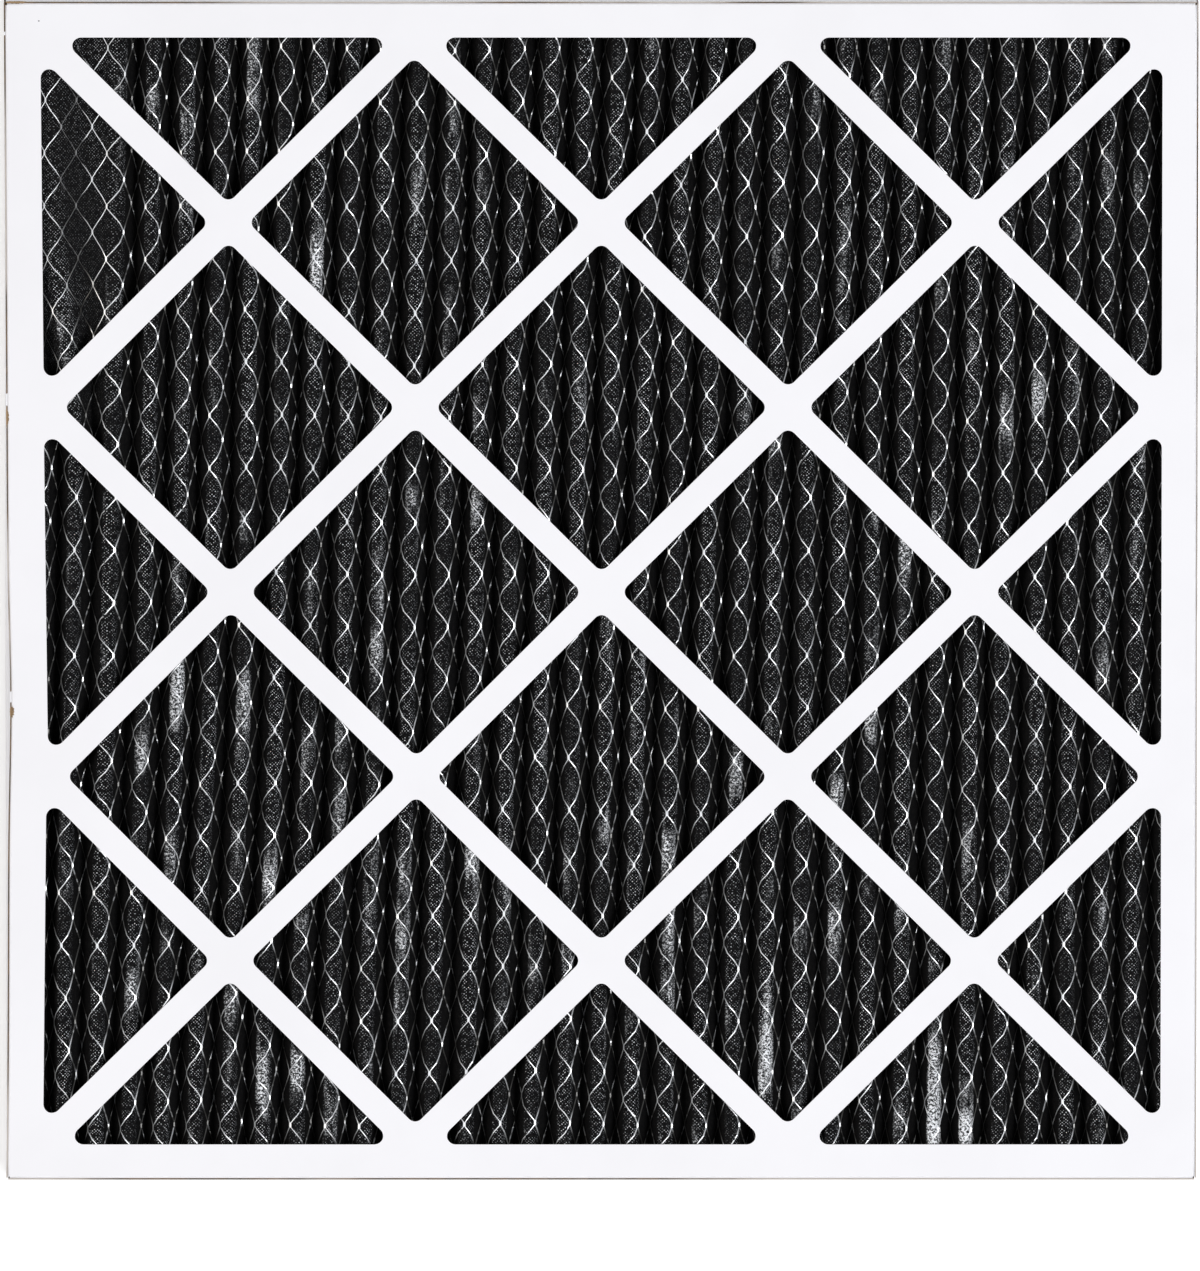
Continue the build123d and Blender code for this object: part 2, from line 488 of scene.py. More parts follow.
# ---------------------------------------------------------------------------
# Glue beads: hot-melt run down between the pleated pack and the tray walls on
# all four sides, set hard in soft amber ridges.
# ---------------------------------------------------------------------------

AMBER = (0.62, 0.40, 0.16, 1)
AMBER_PALE = (0.78, 0.62, 0.36, 1)


def hot_melt_material():
    """Set hot-melt: waxy amber, cloudy where it cooled against the board."""
    material, tree, shader = new_material("hot melt")
    place = add_node(tree, "ShaderNodeTexCoord").outputs["Object"]
    clouds = add_noise(tree, place, 120.0, 3.0)
    colour = add_mix(tree, add_range(tree, clouds, 0.35, 0.65), AMBER, AMBER_PALE)
    tree.links.new(colour, shader.inputs["Base Color"])
    shader.inputs["Roughness"].default_value = 0.32
    shader.inputs["Subsurface Weight"].default_value = 0.15
    shader.inputs["Subsurface Scale"].default_value = 0.001
    add_bump(tree, shader, clouds, 0.4, 0.0008)
    return material


hot_melt = hot_melt_material()
BEAD_STRETCHES = 61
BEAD_SOFTNESS = 0.00035         # radius of its rounded edges
BEAD_CORNER = 0.1               # an edge that turns by more is one to be rounded
SAG_DEPTH = 0.0004
SAG_WAVES = ((1.0, 170, 0.0), (0.6, 410, 1.3))      # share, turns, start
SAG_LEVEL = 1.6                 # the waves' sum, so the crown only ever sags

for side_name in ("top", "bottom", "left", "right"):
    low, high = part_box("glue_bead_" + side_name)
    bm = bmesh.new()
    bmesh.ops.create_cube(bm, size=1.0)
    bmesh.ops.scale(bm, verts=bm.verts, vec=high - low)
    bmesh.ops.translate(bm, verts=bm.verts, vec=(low + high) / 2)
    run = 0 if high.x - low.x > high.y - low.y else 1
    lengthwise = [
        edge for edge in bm.edges
        if abs((edge.verts[0].co - edge.verts[1].co)[run]) > BORDER
    ]
    bmesh.ops.subdivide_edges(bm, edges=lengthwise, cuts=BEAD_STRETCHES - 1)
    corner_runs = [edge for edge in bm.edges if edge.calc_face_angle(0) > BEAD_CORNER]
    bmesh.ops.bevel(
        bm, geom=corner_runs, affect="EDGES", offset=BEAD_SOFTNESS,
        segments=2, profile=0.5, material=-1,
    )
    for v in bm.verts:
        sag = SAG_LEVEL
        for share, turns, start in SAG_WAVES:
            sag += share * math.sin(v.co[run] * turns + start)
        v.co.z -= SAG_DEPTH * sag * (v.co.z - low.z) / (high.z - low.z)
    bead = finished_piece(bm, "hot_melt_" + side_name, [hot_melt])
    move_points(bead.data, squeeze_ends)
    shade_smooth(bead.data, math.radians(60))
    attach(bead, "root")
    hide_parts("glue_bead_" + side_name)

# ---------------------------------------------------------------------------
# Pleated media: one lofty charcoal-dark sheet, point-bonded, folded to and fro
# between the boards together with the net that holds its pleats open.
# ---------------------------------------------------------------------------

PACK_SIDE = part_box("pleated_media")[1].x * 2
MEDIA_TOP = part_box("pleated_media")[1].z
MEDIA_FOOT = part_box("pleated_media")[0].z
MEDIA_THICKNESS = 0.0024
PLEAT_PITCH = 0.01653
BEND_RADIUS = 0.0020            # of the sheet's middle
FIRST_PLEAT, LAST_PLEAT = -20, 19       # a few more than the frame holds
BEND_STEPS = 13                 # points from a bend's middle to the wall

# How the pleats lie in the frame: each change runs smoothly from a first place to
# a second one, either along y or across the pleats, counted from the middle.
PACK_SHIFT = 0.0028             # the middle crest stands right of the panel's middle
PLEAT_LEAN = 0.0189             # sideways run of the crests, per length
RIGHT_UPRIGHT = 0.0108          # of it, lost over the right half
RIGHT_HALF = (0, 12)
EDGE_PULL = 0.0034              # the pleats at the left stand closer to the edge
LEFT_PLEATS = (-14, -16)
ABOVE_FOOT = (-0.26, -0.11)
LOW_PULL = 0.0035               # and so do all of them at the lower left
LEFT_HALF = (-3, -12)
LOWER_HALF = (-0.04, -0.24)
TOP_PART = (0.057, 0.207)       # where the first pleat has been pulled nearly flat
FLAT_PLEAT = (-14.75, -15.25)
FLATNESS = 0.80
FLAT_DEPTH = 0.0022             # of the flattened sheet, under the crests
DRAWN_OUT = 0.0128              # sideways, for each pleat past the flat one's crest
FLAT_CREST = -15
# waves in which a crest wanders sideways: reach, turns along it
CREST_WAVES = ((0.00035, 7), (0.00028, 16), (0.00016, 25))


def half_pleat():
    """Crest to hollow as rows of: run along the top, x, z, normal x, normal z."""
    rise = MEDIA_TOP - MEDIA_FOOT - MEDIA_THICKNESS - 2 * BEND_RADIUS
    centres = math.hypot(PLEAT_PITCH / 2, rise)
    slope = math.atan2(PLEAT_PITCH / 2, rise) - math.asin(2 * BEND_RADIUS / centres)
    turn = np.linspace(0, math.pi / 2 - slope, BEND_STEPS)
    lean_x, lean_z = np.sin(turn), np.cos(turn)
    top_radius = BEND_RADIUS + MEDIA_THICKNESS / 2
    hollow = BEND_RADIUS - MEDIA_THICKNESS / 2
    crest_middle = MEDIA_TOP - top_radius
    x = np.concatenate((
        top_radius * lean_x, PLEAT_PITCH / 2 - hollow * lean_x[::-1]))
    z = np.concatenate((
        crest_middle + top_radius * lean_z,
        crest_middle - rise - hollow * lean_z[::-1]))
    normal_x = np.concatenate((lean_x, lean_x[::-1]))
    normal_z = np.concatenate((lean_z, lean_z[::-1]))
    run = np.concatenate(([0], np.cumsum(np.hypot(np.diff(x), np.diff(z)))))
    return run, x, z, normal_x, normal_z


RUN, FOLD_X, FOLD_Z, NORMAL_X, NORMAL_Z = half_pleat()
HALF_RUN = RUN[-1]
CREST_RUN = RUN[BEND_STEPS - 1]  # where the crest's bend ends on the wall
WALL_END = RUN[BEND_STEPS]
PLEAT_RUN = 2 * HALF_RUN

crest_dice = np.random.default_rng(41)
crest_table = (LAST_PLEAT - FIRST_PLEAT + 2, len(CREST_WAVES))
CREST_PHASES = crest_dice.uniform(0, 2 * math.pi, crest_table)
CREST_SWAYS = crest_dice.normal(0, 1, crest_table)


def ramp(values, start, end):
    """Smooth step from 0 to 1 as values go from start to end."""
    share = np.clip((values - start) / (end - start), 0, 1)
    return share * share * (3 - 2 * share)


def crest_sway(pleat, y):
    """Small sideways wander of the crests, smooth along each of them."""
    index = np.clip(pleat - FIRST_PLEAT, 0, LAST_PLEAT - FIRST_PLEAT)
    low = np.floor(index).astype(int)
    share = index - low
    sway = np.zeros_like(y)
    for wave, (reach, turns) in enumerate(CREST_WAVES):
        angle = y * turns
        for one, weight in ((low, 1 - share), (low + 1, share)):
            sway += (
                weight * reach * CREST_SWAYS[one, wave]
                * np.sin(angle + CREST_PHASES[one, wave])
            )
    return sway


def opened_out(run, y):
    """How far the first pleat is flattened there, and how near the top y lies."""
    near_top = ramp(y, *TOP_PART)
    return near_top * ramp(run / PLEAT_RUN, *FLAT_PLEAT), near_top


def lay(run, y, lift):
    """Points of the folded sheet: run across the pleats, y along them, and lift
    off its top side.  Returns x, y, z."""
    pleat = np.round(run / PLEAT_RUN)
    within = run - pleat * PLEAT_RUN
    side = np.sign(within)
    within = np.abs(within)
    x = pleat * PLEAT_PITCH + side * np.interp(within, RUN, FOLD_X)
    z = np.interp(within, RUN, FOLD_Z)
    normal_x = side * np.interp(within, RUN, NORMAL_X)
    normal_z = np.interp(within, RUN, NORMAL_Z)

    opened, near_top = opened_out(run, y)
    flat = FLATNESS * opened
    x += flat * (run / PLEAT_RUN * PLEAT_PITCH - x)
    z += flat * (MEDIA_TOP - FLAT_DEPTH - z)
    normal_x *= 1 - flat
    length = np.hypot(normal_x, normal_z + flat)
    normal_x, normal_z = normal_x / length, (normal_z + flat) / length

    place = x / PLEAT_PITCH
    x += PACK_SHIFT + (PLEAT_LEAN - RIGHT_UPRIGHT * ramp(place, *RIGHT_HALF)) * y
    x -= EDGE_PULL * ramp(place, *LEFT_PLEATS) * ramp(y, *ABOVE_FOOT)
    x -= LOW_PULL * ramp(place, *LEFT_HALF) * ramp(y, *LOWER_HALF)
    x += DRAWN_OUT * near_top * np.minimum(place - FLAT_CREST, 0)
    x += crest_sway(place, y)
    x += lift * normal_x
    z += lift * normal_z
    return x, y, z


# The net's cells, as the sheet feels them: it puffs out between the strands.
NET_COLUMN = PLEAT_RUN / 3.913  # across half a cell: it drifts over the pleats
NET_ROW = 0.01332               # along half a cell
NET_START = (0.0028, 0.0053)    # how far its middle bond lies left of, and below, 0
# slow waves in the net's columns and rows: reach, turns by run and by y, start
COLUMN_WAVES = ((0.0018, 9, 11, 1.0), (0.0007, -23, 31, 0.0))
ROW_WAVES = ((0.0012, 5.2, 4, 0.0), (0.0008, 21, 0, 0.0))
# In the lower part it has also slid to the right, by these shares of a column: in
# the middle, what comes on top at the left, and what is missing at the right.
SLID_MIDDLE, SLID_LEFT, SLID_RIGHT = 0.6, 0.4, 0.6
PUFF = 0.00060
PUFF_FULLNESS = 0.7             # under 1, it stands full almost up to the strands


def wave_sum(waves, run, y):
    """Sum of slow waves over the flat sheet."""
    return sum(
        reach * np.sin(by_run * run + by_y * y + start)
        for reach, by_run, by_y, start in waves
    )


def net_phase(run, y):
    """Where the net's columns and rows lie on the pleats, in half cells."""
    slid = SLID_MIDDLE + SLID_LEFT * ramp(run, 0, -0.4) - SLID_RIGHT * ramp(run, 0.2, 0.4)
    across = run + NET_START[0] + wave_sum(COLUMN_WAVES, run, y)
    along = y + NET_START[1] + wave_sum(ROW_WAVES, run, y)
    return across / NET_COLUMN - slid * ramp(y, 0, -0.28), along / NET_ROW


def puff(run, y):
    """Height of the sheet between the strands: none where a strand crosses."""
    across, along = net_phase(run, y)
    one = np.sin(math.pi * (across + along) / 2)
    other = np.sin(math.pi * (across - along) / 2)
    return PUFF * np.abs(one * other) ** PUFF_FULLNESS


def slab(bm, columns, rows, height):
    """Grid of whole columns and rows, numbered from 0, at one height."""
    made = bmesh.ops.create_grid(bm, x_segments=columns, y_segments=rows, size=0.5)
    for v in made["verts"]:
        v.co = ((v.co.x + 0.5) * columns, (v.co.y + 0.5) * rows, height)


# grid columns from a crest to a hollow: fine on the top side, coarser under it
wall = (WALL_END - CREST_RUN) / 5
TOP_STEPS = np.array([
    0, CREST_RUN / 2, CREST_RUN, *(CREST_RUN + wall * np.arange(1, 5)), WALL_END, HALF_RUN,
])
UNDER_STEPS = np.array([0, CREST_RUN, (CREST_RUN + WALL_END) / 2, WALL_END,
                        (WALL_END + HALF_RUN) / 2, HALF_RUN])
TOP_ROWS, UNDER_ROWS = 118, 44  # grid rows along the pleats


def whole_run(steps):
    """Run of every grid column of the sheet, from the steps in half a pleat."""
    one = np.concatenate((steps, PLEAT_RUN - steps[-2:0:-1]))
    starts = np.arange(FIRST_PLEAT, LAST_PLEAT)[:, None] * PLEAT_RUN
    return np.append((starts + one).ravel(), LAST_PLEAT * PLEAT_RUN)


top_run, under_run = whole_run(TOP_STEPS), whole_run(UNDER_STEPS)
bm = bmesh.new()
slab(bm, len(top_run) - 1, TOP_ROWS, 1.0)
slab(bm, len(under_run) - 1, UNDER_ROWS, 0.0)
bmesh.ops.bridge_loops(bm, edges=[edge for edge in bm.edges if edge.is_boundary])
media = finished_piece(bm, "media_sheet", [])


CREST_GIVE = 0.0002             # how far a crest can puff up: just short of the board
DUST_OFFSET, DUST_HALF = 0.001, 0.0055      # a streak's middle and half its width
# streaks where fines have caught on a crest: pleat, place along it, reach, how much
DUST_STREAKS = (
    (-14, 0.250, 0.008, 0.7), (-11, 0.244, 0.020, 0.6), (-9, 0.165, 0.018, 1.0),
    (-4, 0.040, 0.014, 1.0), (-6, 0.048, 0.010, 0.7), (-7, -0.003, 0.009, 0.4),
    (-7, -0.027, 0.008, 0.6), (-13, -0.054, 0.038, 1.1), (-14, -0.083, 0.015, 0.9),
    (-11, -0.052, 0.024, 0.7), (-13, -0.133, 0.015, 0.5), (-11, -0.140, 0.014, 0.4),
    (-10, -0.144, 0.014, 0.9), (0, -0.123, 0.009, 0.8), (2, -0.128, 0.012, 0.9),
    (2, -0.185, 0.030, 0.8), (4, -0.095, 0.014, 0.8), (5, -0.210, 0.015, 0.8),
    (7, -0.100, 0.010, 0.8), (7, -0.170, 0.022, 0.7), (8, -0.069, 0.015, 1.0),
    (10, -0.248, 0.038, 1.2), (11, -0.262, 0.022, 1.0), (12, -0.152, 0.013, 1.0),
    (13, -0.195, 0.010, 0.8), (15, -0.160, 0.013, 0.8), (13, 0.095, 0.018, 1.0),
    (11, -0.128, 0.022, 0.4), (5, -0.237, 0.024, 1.5), (-6, -0.170, 0.036, 0.8),
    (-4, -0.137, 0.016, 0.7), (-8, -0.107, 0.026, 0.8), (-14, -0.207, 0.017, 0.4),
    (-13, -0.258, 0.018, 0.9), (10, 0.132, 0.016, 0.5), (6, -0.169, 0.018, 0.7),
    (3, 0.190, 0.015, 0.7), (5, 0.177, 0.020, 0.7), (-6, 0.205, 0.014, 0.8),
    (-9, -0.163, 0.016, 0.7), (-16, 0.126, 0.018, 0.4), (15, -0.028, 0.020, 0.6),
    (8, 0.042, 0.016, 0.6), (10, -0.274, 0.015, 1.7), (11, -0.272, 0.013, 1.8),
    (-10, -0.252, 0.017, 1.0), (-9, -0.243, 0.010, 0.9), (-3, -0.145, 0.018, 0.7),
    (9, 0.023, 0.014, 0.7), (10, 0.036, 0.020, 0.6), (12, 0.080, 0.020, 0.5),
)


def keep_on_points(mesh, name, values):
    """Keep one number for each point of a mesh, for its material to read."""
    note = mesh.attributes.new(name, "FLOAT", "POINT")
    note.data.foreach_set("value", np.ascontiguousarray(values))


def fold_sheet(points):
    """Take the numbered grid to its place in the folded sheet."""
    is_top = points[:, 2] > 0.5
    run = np.where(
        is_top,
        np.interp(points[:, 0], np.arange(len(top_run)), top_run),
        np.interp(points[:, 0], np.arange(len(under_run)), under_run),
    )
    share = np.where(is_top, points[:, 1] / TOP_ROWS, points[:, 1] / UNDER_ROWS)
    y = (share - 0.5) * PACK_SIDE
    flat_lay = np.stack((run, y, is_top.astype(float)), axis=1)
    note = media.data.attributes.new("lay", "FLOAT_VECTOR", "POINT")
    note.data.foreach_set("vector", flat_lay.ravel())
    dust = np.zeros(len(run))
    for pleat, place, reach, strength in DUST_STREAKS:
        across = (run - pleat * PLEAT_RUN - DUST_OFFSET) / DUST_HALF
        away = across ** 4 + ((y - place) / reach) ** 2
        dust = np.maximum(dust, strength * np.exp(-away))
    keep_on_points(media.data, "dust", dust)
    opened = opened_out(run, y)[0]
    keep_on_points(media.data, "opened", opened)
    lift = np.where(is_top, puff(run, y) * (1 + opened), -MEDIA_THICKNESS)
    x, y, z = lay(run, y, lift)
    return np.stack((x, y, np.clip(z, MEDIA_FOOT, MEDIA_TOP + CREST_GIVE)), axis=1)


move_points(media.data, fold_sheet)


def trim_sides(mesh, width):
    """Cut a closed mesh off square at both sides, and close the cuts."""
    bm = bmesh.new()
    bm.from_mesh(mesh)
    for side in (-1, 1):
        bmesh.ops.bisect_plane(
            bm, geom=[*bm.verts, *bm.edges, *bm.faces], dist=1e-7,
            plane_co=(side * width / 2, 0, 0), plane_no=(side, 0, 0), clear_outer=True,
        )
        open_edges = [edge for edge in bm.edges if edge.is_boundary]
        filled = bmesh.ops.holes_fill(bm, edges=open_edges, sides=0)["faces"]
        bmesh.ops.triangulate(bm, faces=filled)
    bmesh.ops.recalc_face_normals(bm, faces=bm.faces[:])
    bm.to_mesh(mesh)
    bm.free()


trim_sides(media.data, PACK_SIDE)
move_points(media.data, squeeze_ends)
shade_smooth(media.data, math.radians(50))

MEDIA_BLACK = (0.0052, 0.0052, 0.0058, 1)
MEDIA_FUZZ = (0.0145, 0.0135, 0.0130, 1)
BOND_DIM = (0.040, 0.038, 0.036, 1)
# painted highlight: the near-white colour of bonded points where light falls on the crests
BOND_BRIGHT = (0.90, 0.92, 0.97, 1)
LINT = (0.90, 0.91, 0.94, 1)
BOND_PITCH = 0.0017
BOND_SHAKE = 0.0016             # how far the bonded points stand off their grid
LINT_AND_GLINT_OFFSET = 0.0018            # the middle of the lint, and of the painted highlight band, lies right of the crest
CREST_EDGE = (0.0056, 0.0044)   # how far from there the crest's lint and painted highlight fade in
DUST_GAIN, GRAIN_GAIN = 0.20, 0.05      # what caught fines add to streaks and grains
# where each pattern sets in, and where it is full
BOND_RANGE, GLINT_RANGE = (1.04, 1.12), (0.44, 0.58)
STREAK_RANGE, GRAIN_RANGE = (0.57, 0.73), (0.52, 0.62)
# patches where the painted highlight on the bonded points is stronger or weaker
GLINT_PATCH_RANGE, GLINT_PATCH_LIGHT = (0.40, 0.62), (0.22, 0.95)


def add_attribute(tree, name):
    """Values that the mesh keeps for its material."""
    node = add_node(
        tree, "ShaderNodeAttribute", attribute_name=name, attribute_type="GEOMETRY")
    return node.outputs


def media_material():
    """Black needled media with a grid of bonded points, lint on its crests, and a painted
    highlight on the bonded points there.
    """
    material, tree, shader = new_material("pleated media")
    note = add_attribute(tree, "lay")["Vector"]
    run = add_node(tree, "ShaderNodeSeparateXYZ", {"Vector": note}).outputs["X"]
    flat_place = add_node(tree, "ShaderNodeMapping",
                          {"Vector": note, "Scale": (1.0, 1.0, 0.0)}).outputs["Vector"]
    drawn_out = add_node(tree, "ShaderNodeMapping",
                         {"Vector": note, "Scale": (1.0, 0.25, 0.0)}).outputs["Vector"]

    # bonded points, staggered row by row, each caught by the light differently
    shaken = add_node(tree, "ShaderNodeTexNoise",
                      {"Vector": flat_place, "Scale": 330.0, "Detail": 1.0}).outputs["Color"]
    shaken = add_node(tree, "ShaderNodeVectorMath",
                      {0: shaken, 1: (0.5, 0.5, 0.5)}, operation="SUBTRACT").outputs[0]
    shaken = add_node(tree, "ShaderNodeVectorMath",
                      {0: shaken, 1: (BOND_SHAKE,) * 3, 2: note},
                      operation="MULTIPLY_ADD").outputs[0]
    near = add_node(tree, "ShaderNodeSeparateXYZ", {"Vector": shaken}).outputs
    rows = []
    for way in ("ADD", "SUBTRACT"):
        slanting = add_math(tree, way, near["X"], near["Y"])
        turns = add_math(tree, "MULTIPLY", slanting, math.pi / BOND_PITCH)
        rows.append(add_math(tree, "SINE", turns))
    points = add_math(tree, "ABSOLUTE", add_math(tree, "MULTIPLY", *rows))
    fibres = add_noise(tree, flat_place, 1100.0, 3.0, 0.7)
    glint = add_noise(tree, flat_place, 520.0, 2.0, 0.6)
    points = add_math(tree, "MULTIPLY_ADD", fibres, 0.5, points)
    bond = add_math(tree, "MULTIPLY", add_range(tree, points, *BOND_RANGE),
                    add_range(tree, glint, *GLINT_RANGE))

    # lint and fines lie on the crests, in streaks along them; the same crest band also
    # carries the painted highlight below
    crest = add_math(tree, "SUBTRACT", run, LINT_AND_GLINT_OFFSET)
    on_crest = add_range(tree, add_math(tree, "PINGPONG", crest, HALF_RUN), *CREST_EDGE)
    streaks = add_noise(tree, drawn_out, 70.0, 4.0, 0.65)
    caught = add_attribute(tree, "dust")["Fac"]
    streaks = add_math(tree, "MULTIPLY_ADD", caught, DUST_GAIN, streaks)
    dusty = add_math(tree, "MULTIPLY", add_range(tree, streaks, *STREAK_RANGE), on_crest)

    # painted highlight: the bonded points are painted bright on the crests, and on the
    # flattened pleat, where the light catches them, stronger in some patches than in others
    glint_patches = add_noise(tree, drawn_out, 32.0, 3.0, 0.6)
    opened = add_attribute(tree, "opened")["Fac"]
    lit = add_math(tree, "MAXIMUM", on_crest, add_math(tree, "MULTIPLY", opened, 0.6))
    bond_light = add_range(tree, glint_patches, *GLINT_PATCH_RANGE, *GLINT_PATCH_LIGHT)
    bond_light = add_math(tree, "MULTIPLY", lit, bond_light)

    fuzz = add_range(tree, add_noise(tree, flat_place, 420.0, 5.0, 0.75), 0.4, 0.75)
    base = add_mix(tree, fuzz, MEDIA_BLACK, MEDIA_FUZZ)
    base = add_mix(tree, add_math(tree, "MULTIPLY", bond, 0.45), base, BOND_DIM)
    base = add_mix(tree, add_math(tree, "MULTIPLY", bond, bond_light), base, BOND_BRIGHT)
    grains = add_noise(tree, flat_place, 800.0, 2.0, 0.8)
    grains = add_math(tree, "MULTIPLY_ADD", caught, GRAIN_GAIN, grains)
    lint = add_math(tree, "MULTIPLY", dusty, add_range(tree, grains, *GRAIN_RANGE, 0.03, 1.0))
    base = add_mix(tree, lint, base, LINT)
    tree.links.new(base, shader.inputs["Base Color"])
    shader.inputs["Roughness"].default_value = 0.95
    shader.inputs["Specular IOR Level"].default_value = 0.06
    add_bump(tree, shader, add_math(tree, "MULTIPLY_ADD", bond, -0.5, fibres), 0.6, 0.0005)
    return material


media.data.materials.append(media_material())
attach(media, "root")
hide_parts("pleated_media")

# ---------------------------------------------------------------------------
# Net: expanded steel, slit and stretched so its strands zigzag from bond to
# bond, glued over the media and folded with it to hold the pleats open.
# ---------------------------------------------------------------------------

STRAND_WIDTH = 0.00053
STRAND_HEIGHT = 0.00030
STRAND_SEAT = 0.00036           # how proud of the sheet a strand's foot stands
LEG_WIDENING = 1.12             # a leg is wider than the bonds at its ends
LEVEL_TILT = math.radians(-13)  # a strand lies level where the sheet has turned 13
TWIST_LIMITS = (math.radians(-11), math.radians(62))    # what the metal takes
# over a crest there is just room for a strand under the front board: how far its
# foot stands above the crest, and how thick it is from there
CREST_SEAT, CREST_ROOM = 0.00001, 0.00028
BOND_LENGTH = 0.0021
# steps from one bond's middle to the next one's: shares of a row, and of a column
ROW_STEPS = (
    0, BOND_LENGTH / 2 / NET_ROW, 0.37, 0.63, 1 - BOND_LENGTH / 2 / NET_ROW, 1)
COLUMN_STEPS = (0, 0, 1 / 3, 2 / 3, 1, 1)
LEG_STEPS = len(ROW_STEPS) - 1
STRAND_LEGS = 43
NET_SIDE = 0.5900               # its edges end short of the glue

# one strand, stretched out: across it, the number of the step, and its height
bm = bmesh.new()
section = [
    bm.verts.new((-0.5, 0, 1)), bm.verts.new((0.5, 0, 1)), bm.verts.new((0, 0, 0)),
]
bm.faces.new(section)
bmesh.ops.spin(
    bm, geom=[*bm.verts, *bm.edges, *bm.faces], cent=(0, 0, 0), axis=(0, 1, 0),
    dvec=(0, 1, 0), angle=0, steps=STRAND_LEGS * LEG_STEPS, use_duplicate=False,
)
bmesh.ops.recalc_face_normals(bm, faces=bm.faces[:])
one_strand = bpy.data.meshes.new("one strand")
bm.to_mesh(one_strand)
bm.free()


def surface_slope(run):
    """How far the sheet faces right: nothing on a crest, most on the walls."""
    within = run - np.round(run / PLEAT_RUN) * PLEAT_RUN
    return np.sign(within) * np.arcsin(np.interp(np.abs(within), RUN, NORMAL_X))


def place_strands(points, columns):
    """Lay strands on the pleats.  Strand n zigzags between columns n and n + 1."""
    leg, part = np.divmod(points[:, 1], LEG_STEPS)
    leg -= STRAND_LEGS // 2
    row = leg + np.interp(part, np.arange(LEG_STEPS + 1), ROW_STEPS)
    share = np.interp(part, np.arange(LEG_STEPS + 1), COLUMN_STEPS)
    # a bond stands where column and row are both odd or both even
    share = np.where((columns + leg) % 2 == 0, share, 1 - share)
    half_width = STRAND_WIDTH / NET_COLUMN / 2
    across = columns + half_width + share * (1 - 2 * half_width)
    # find where the net's phases are these, so strands lie where the sheet dents
    run, y = across * NET_COLUMN, row * NET_ROW
    for _ in range(3):
        got_across, got_along = net_phase(run, y)
        run = run + (across - got_across) * NET_COLUMN
        y = y + (row - got_along) * NET_ROW
    # a strand twists to lie level over the right-hand shoulder of each pleat
    tilt = np.clip(surface_slope(run) + LEVEL_TILT, *TWIST_LIMITS)
    on_leg = (part > 1.5) & (part < 3.5)
    wide = points[:, 0] * STRAND_WIDTH * np.where(on_leg, LEG_WIDENING, 1)
    high = points[:, 2] * STRAND_HEIGHT
    lift = STRAND_SEAT + high * np.cos(tilt) + wide * np.sin(tilt)
    x, y, z = lay(run + wide * np.cos(tilt) - high * np.sin(tilt), y, lift)
    ceiling = MEDIA_TOP + CREST_SEAT + CREST_ROOM * points[:, 2]
    return np.stack((x, y, np.minimum(z, ceiling)), axis=1)


# as many strands as reach the panel, of more than there is room for
bm = bmesh.new()
strand_columns = []
template = read_points(one_strand)
for column in range(4 * FIRST_PLEAT, 4 * LAST_PLEAT):
    placed = place_strands(template, np.full(len(template), column))
    if np.abs(placed[:, 0]).min() < NET_SIDE / 2:
        bm.from_mesh(one_strand)
        strand_columns += [column] * len(template)
net = finished_piece(bm, "expanded_net", [])
move_points(net.data, lambda points: place_strands(points, np.array(strand_columns)))
trim_sides(net.data, NET_SIDE)
move_points(net.data, squeeze_ends)
keep_on_points(net.data, "depth", MEDIA_TOP - read_points(net.data)[:, 2])

ZINC = (0.985, 0.988, 1.0, 1)
ZINC_DULL = (0.50, 0.51, 0.54, 1)
# painted shade: the colour the strands are given down in the folds
ZINC_PAINTED_SHADE = (0.13, 0.127, 0.122, 1)
PAINTED_SHADE_DEPTHS = (0.0026, 0.0062)  # below the crests: where the painted shade sets in, and is full


def zinc_material():
    """Galvanised steel: bright on the crests, and darkened by painted shade down in the
    folds.
    """
    material, tree, shader = new_material("galvanised net", metallic=0.80)
    place = add_node(tree, "ShaderNodeTexCoord").outputs["Object"]
    spangle = add_noise(tree, place, 300.0, 3.0)
    handled = add_noise(tree, place, 22.0, 3.0)
    dull = add_math(tree, "MULTIPLY", add_range(tree, spangle, 0.4, 0.65),
                    add_range(tree, handled, 0.35, 0.65, 0.05, 0.7))
    colour = add_mix(tree, dull, ZINC, ZINC_DULL)
    # painted shade darkens the strands down in the folds, and here and there a strand is left
    # shining in the depth
    depth = add_attribute(tree, "depth")["Fac"]
    glimpses = add_noise(tree, place, 160.0, 1.0)
    deep = add_math(tree, "MULTIPLY", add_range(tree, depth, *PAINTED_SHADE_DEPTHS),
                    add_range(tree, glimpses, 0.54, 0.64, 1.0, 0.10))
    colour = add_mix(tree, deep, colour, ZINC_PAINTED_SHADE)
    tree.links.new(colour, shader.inputs["Base Color"])
    tree.links.new(add_range(tree, spangle, 0.3, 0.7, 0.33, 0.44), shader.inputs["Roughness"])
    add_bump(tree, shader, spangle, 0.25, 0.0002)
    return material


net.data.materials.append(zinc_material())
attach(net, "root")
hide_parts("wire_backing")

# ---------------------------------------------------------------------------
# Front tray: the same board and the same openings, nested inside the rear
# tray's walls, with corner tabs glued flat behind its end walls.
# ---------------------------------------------------------------------------

FRONT_LOW, FRONT_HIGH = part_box("front_frame")
FRONT_SIDE = FRONT_HIGH.x - FRONT_LOW.x
TAB_LENGTH = 0.022
TAB_RELIEF = 0.002              # what it stays short of the wall's edge and of the fold

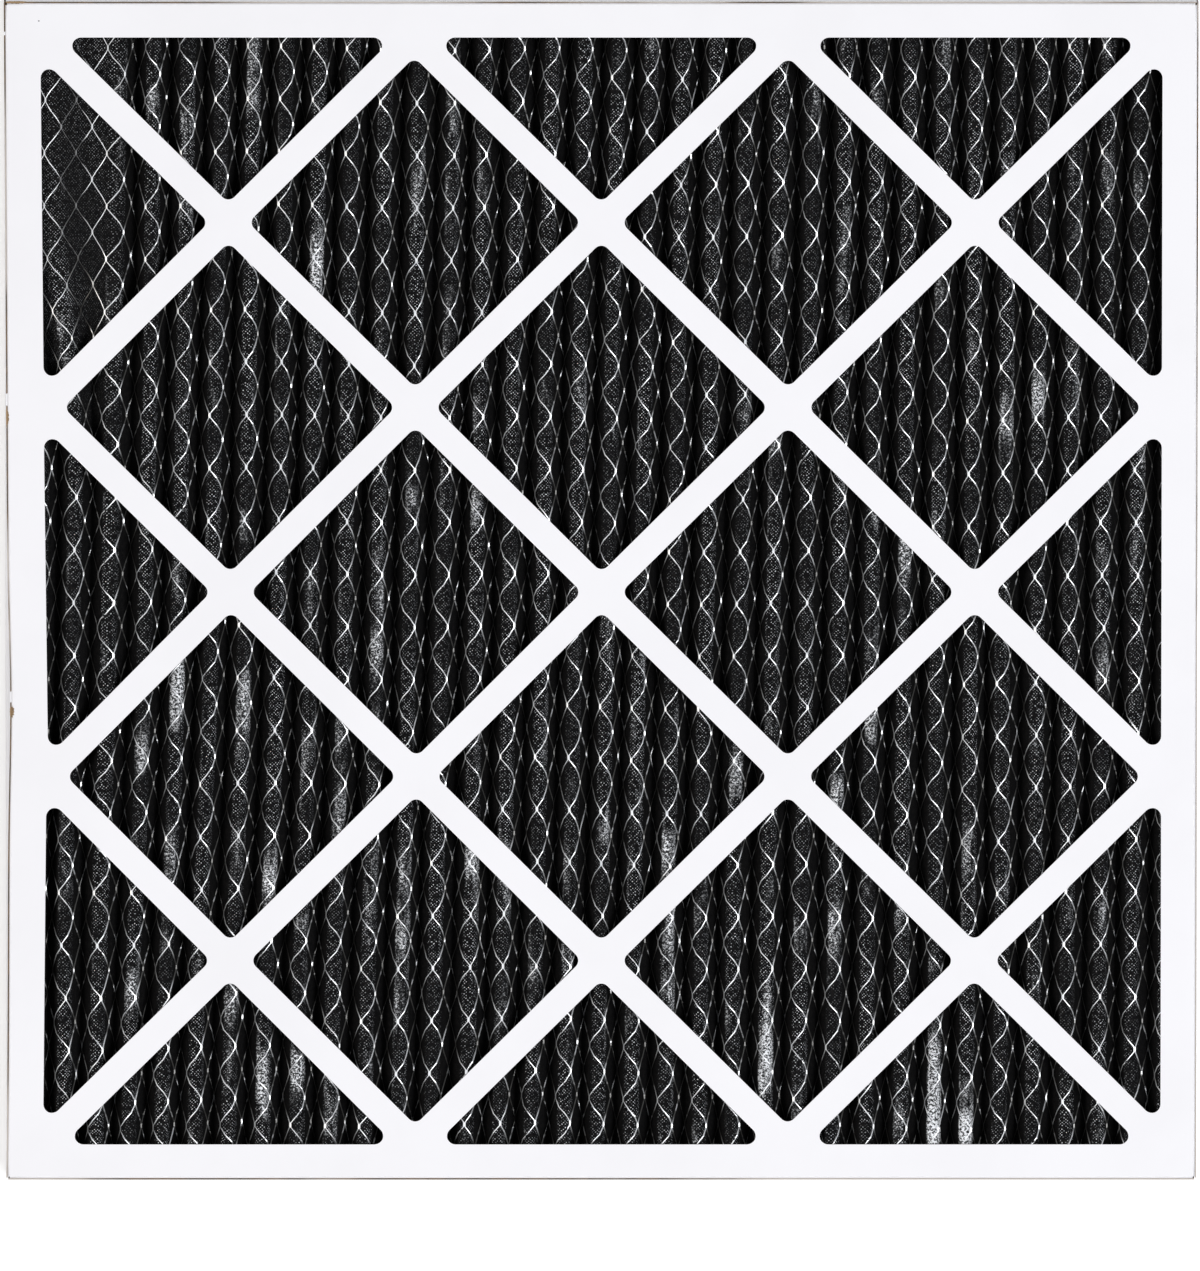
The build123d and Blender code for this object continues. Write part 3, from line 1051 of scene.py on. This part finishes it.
bm = folded_tray(FRONT_SIDE, FRONT_HIGH.z, FRONT_LOW.z)
inner = FRONT_SIDE / 2 - BOARD_THICKNESS
tab_low = FRONT_LOW.z + TAB_RELIEF
tab_high = FRONT_HIGH.z - FOLD_RADIUS - TAB_RELIEF
for side_x in (-1, 1):
    for side_y in (-1, 1):
        made = bmesh.ops.create_grid(bm, x_segments=4, y_segments=1, size=0.5)
        for v in made["verts"]:
            v.co = (
                side_x * (inner - TAB_LENGTH * (v.co.x + 0.5)),
                side_y * inner,
                tab_low + (tab_high - tab_low) * (v.co.y + 0.5),
            )
        faces = list({face for v in made["verts"] for face in v.link_faces})
        bmesh.ops.recalc_face_normals(bm, faces=faces)
        if faces[0].normal.y * side_y < 0:
            bmesh.ops.reverse_faces(bm, faces=faces)
front_tray = make_board(bm, "front_tray")
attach(front_tray, "root")
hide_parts("front_frame")

# ---------------------------------------------------------------------------
# Pale floor, soft light from the upper right, and a camera far above the panel.
# ---------------------------------------------------------------------------

FLOOR_WHITE = (0.90, 0.90, 0.90, 1)
FLOOR_LIFT = 0.30
SKY_WHITE = (0.93, 0.96, 1.0, 1)


def floor_material():
    """Matt white; seen directly it is lifted to plain white but keeps shadows."""
    material, tree, shader = new_material("studio floor")
    shader.inputs["Base Color"].default_value = FLOOR_WHITE
    shader.inputs["Roughness"].default_value = 0.9
    path = add_node(tree, "ShaderNodeLightPath").outputs
    seen = add_math(tree, "MAXIMUM", path["Is Camera Ray"], path["Is Glossy Ray"])
    seen = add_math(tree, "MAXIMUM", seen, path["Is Transmission Ray"])
    shader.inputs["Emission Color"].default_value = (1, 1, 1, 1)
    tree.links.new(add_math(tree, "MULTIPLY", seen, FLOOR_LIFT),
                   shader.inputs["Emission Strength"])
    return material


bm = bmesh.new()
bmesh.ops.create_grid(bm, x_segments=1, y_segments=1, size=6.0)
floor = finished_piece(bm, "studio_floor", [floor_material()])

world = bpy.data.worlds.new("studio air")
world.use_nodes = True
sky = world.node_tree.nodes["Background"]
sky.inputs["Color"].default_value = SKY_WHITE
sky.inputs["Strength"].default_value = 0.29
bpy.context.scene.world = world


def soft_light(name, place, size, colour, power):
    """Long softbox over the panel, turned to its middle; size is length, width."""
    data = bpy.data.lights.new(name, "AREA")
    data.shape = "RECTANGLE"
    data.size, data.size_y = size
    data.color = colour
    data.energy = power
    light = bpy.data.objects.new(name, data)
    light.location = place
    light.rotation_mode = "QUATERNION"
    light.rotation_quaternion = (-Vector(place)).to_track_quat("-Z", "Y")
    bpy.context.scene.collection.objects.link(light)


soft_light("key softbox", (2.10, -0.50, 4.75), (6.5, 1.9), (0.97, 0.985, 1.0), 214)
soft_light("fill softbox", (-3.60, -0.30, 3.20), (3.0, 2.0), (1.0, 0.95, 0.88), 72)

CAMERA_DISTANCE = 22.0
CAMERA_TILT = math.radians(-9)
CAMERA_AIM = (-0.0006, -0.0220, cad_high.z)
camera_data = bpy.data.cameras.new("camera")
camera_data.sensor_width = 36
camera_data.lens = 1244.5
camera_data.clip_start = 1
camera_data.clip_end = 60
camera = bpy.data.objects.new("camera", camera_data)
camera.matrix_world = (
    Matrix.Translation(CAMERA_AIM)
    @ Matrix.Rotation(CAMERA_TILT, 4, "X")
    @ Matrix.Translation((0, 0, CAMERA_DISTANCE))
)
bpy.context.scene.collection.objects.link(camera)
bpy.context.scene.camera = camera
bpy.context.scene.view_settings.view_transform = "Standard"
